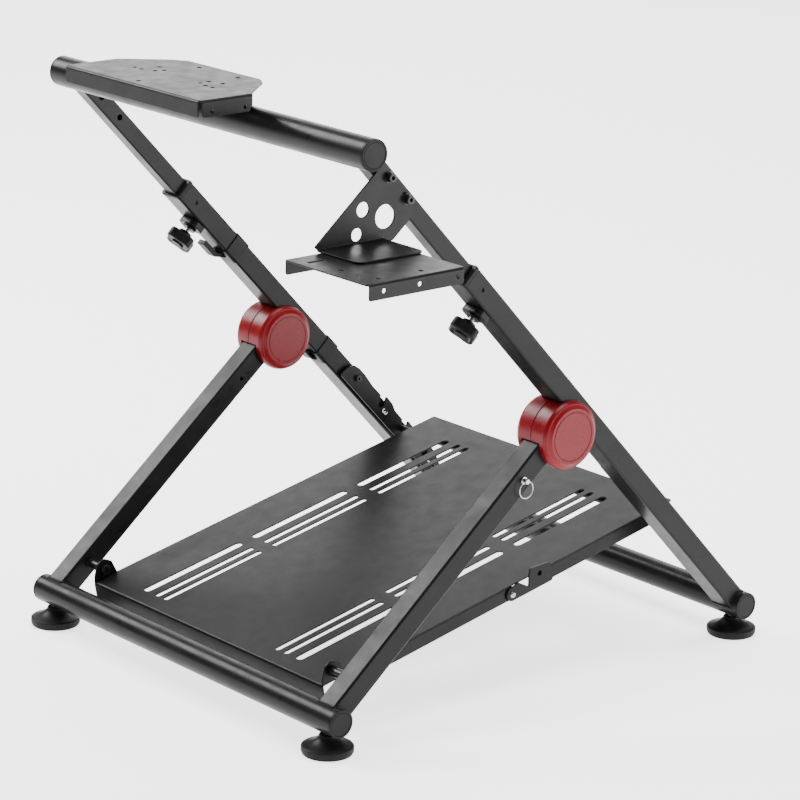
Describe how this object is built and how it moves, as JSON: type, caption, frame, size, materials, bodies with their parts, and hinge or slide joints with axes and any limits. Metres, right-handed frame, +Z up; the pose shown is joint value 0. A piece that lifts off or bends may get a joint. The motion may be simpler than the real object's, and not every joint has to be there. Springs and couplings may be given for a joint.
{
  "type": "folding racing wheel stand",
  "caption": "Folding black steel floor stand that carries a racing wheel, a gear shifter and pedals, with red hubs, telescoping uprights, notched pedal plate and levelling feet.",
  "frame": {"origin": "middle of the footprint box, on the floor", "axes": "+Z up; +Y away from the driver, towards the rear cross tube; +X to the driver's right, where the shifter shelf is"},
  "size_m": [0.8026, 0.8508, 0.8202],
  "materials": {
    "painted_steel": "satin black powder coat",
    "painted_sheet": "fine textured black powder coat",
    "black_plastic": "matt moulded",
    "red_plastic": "satin moulded",
    "bright_zinc": "bright zinc plating",
    "black_bolt": "black oxide"
  },
  "bodies": {
    "main_frame": {"rear_cross_tube": "painted_steel", "rear_tube_cap_left": "black_plastic", "rear_tube_cap_right": "black_plastic", "main_leg_left": "painted_steel", "leg_collar_left": "black_plastic", "clamp_block_left": "painted_steel", "hub_fork_left": "painted_steel", "hub_pivot_bolt_left": "bright_zinc", "hub_cover_inner_left": "red_plastic", "hub_cover_outer_left": "red_plastic", "notch_bracket_left": "painted_steel", "main_leg_right": "painted_steel", "leg_collar_right": "black_plastic", "clamp_block_right": "painted_steel", "hub_fork_right": "painted_steel", "hub_pivot_bolt_right": "bright_zinc", "hub_cover_inner_right": "red_plastic", "hub_cover_outer_right": "red_plastic", "notch_bracket_right": "painted_steel", "cable_clip_upper": "black_plastic", "cable_clip_lower": "black_plastic"},
    "front_frame": {"front_cross_tube": "painted_steel", "front_tube_cap_left": "black_plastic", "front_tube_cap_right": "black_plastic", "short_leg_left": "painted_steel", "short_leg_right": "painted_steel", "pedal_pivot_bolt_left": "bright_zinc", "pedal_pivot_bolt_right": "bright_zinc"},
    "pedal_frame": {"pedal_plate": "painted_sheet", "side_rail_left": "painted_steel", "side_rail_right_front": "painted_steel", "side_rail_right_rear": "painted_steel", "hook_rod": "painted_steel", "latch_rivet": "bright_zinc"},
    "latch": {"rail_latch": "painted_steel"},
    "upper_frame": {"top_cross_tube": "painted_steel", "top_tube_cap_left": "black_plastic", "top_tube_cap_right": "black_plastic", "inner_tube_left": "painted_steel", "inner_tube_right": "painted_steel", "wheel_plate": "painted_sheet", "wheel_plate_bracket": "painted_steel", "shifter_gusset": "painted_sheet", "shifter_shelf": "painted_sheet", "gusset_bolt_1": "black_bolt", "gusset_bolt_2": "black_bolt"},
    "knob_left": {"lock_knob_left": "black_plastic"},
    "knob_right": {"lock_knob_right": "black_plastic"},
    "pin_left": {"pull_pin_left": "bright_zinc"},
    "pin_right": {"pull_pin_right": "bright_zinc"},
    "ring_left": {"pull_ring_left": "bright_zinc"},
    "ring_right": {"pull_ring_right": "bright_zinc"},
    "rear_foot_left": {"rear_foot_left": "black_plastic"},
    "rear_foot_right": {"rear_foot_right": "black_plastic"},
    "front_foot_left": {"front_foot_left": "black_plastic"},
    "front_foot_right": {"front_foot_right": "black_plastic"}
  },
  "joints": [
    {"name": "fold_hinge", "type": "hinge", "parent": "main_frame", "child": "front_frame", "pos_m": [-0.0687, 0.0457, 0.355], "axis": [1, 0, 0], "range_deg": [0, 85]},
    {"name": "pedal_hinge", "type": "hinge", "parent": "front_frame", "child": "pedal_frame", "pos_m": [-0.0687, -0.2869, 0.0835], "axis": [1, 0, 0], "range_deg": [0, 31]},
    {"name": "latch_hinge", "type": "hinge", "parent": "pedal_frame", "child": "latch", "pos_m": [0.1831, 0.0174, 0.12291], "axis": [1, 0, 0], "range_deg": [0, 25], "stiffness_Nm_per_rad": 0.15, "springref_deg": -20.05},
    {"name": "height_slide", "type": "slide", "parent": "main_frame", "child": "upper_frame", "axis": [0, -0.6884, 0.7254], "range_m": [-0.12, 0.07]},
    {"name": "knob_turn_left", "type": "hinge", "parent": "main_frame", "child": "knob_left", "pos_m": [-0.3658, -0.12074, 0.51803], "axis": [0, -0.7254, -0.6884], "continuous": true},
    {"name": "knob_turn_right", "type": "hinge", "parent": "main_frame", "child": "knob_right", "pos_m": [0.2284, -0.12074, 0.51803], "axis": [0, -0.7254, -0.6884], "continuous": true},
    {"name": "pin_slide_left", "type": "slide", "parent": "front_frame", "child": "pin_left", "axis": [-1, 0, 0], "range_m": [0, 0.008], "stiffness_N_per_m": 500, "springref_m": -0.004},
    {"name": "pin_slide_right", "type": "slide", "parent": "front_frame", "child": "pin_right", "axis": [1, 0, 0], "range_m": [0, 0.008], "stiffness_N_per_m": 500, "springref_m": -0.004},
    {"name": "ring_swing_left", "type": "hinge", "parent": "pin_left", "child": "ring_left", "pos_m": [-0.387, -0.02428, 0.30482], "axis": [0, 1, 0], "range_deg": [-4, 100]},
    {"name": "ring_swing_right", "type": "hinge", "parent": "pin_right", "child": "ring_right", "pos_m": [0.2496, -0.02428, 0.30482], "axis": [0, -1, 0], "range_deg": [-4, 100]},
    {"name": "rear_foot_screw_left", "type": "slide", "parent": "main_frame", "child": "rear_foot_left", "axis": [0, 0, -1], "range_m": [0, 0.012]},
    {"name": "rear_foot_screw_right", "type": "slide", "parent": "main_frame", "child": "rear_foot_right", "axis": [0, 0, -1], "range_m": [0, 0.012]},
    {"name": "front_foot_screw_left", "type": "slide", "parent": "front_frame", "child": "front_foot_left", "axis": [0, 0, -1], "range_m": [0, 0.012]},
    {"name": "front_foot_screw_right", "type": "slide", "parent": "front_frame", "child": "front_foot_right", "axis": [0, 0, -1], "range_m": [0, 0.012]}
  ],
  "couplings": [
    {"joint": "pedal_hinge", "follows": "fold_hinge", "ratio": 0.35}
  ]
}
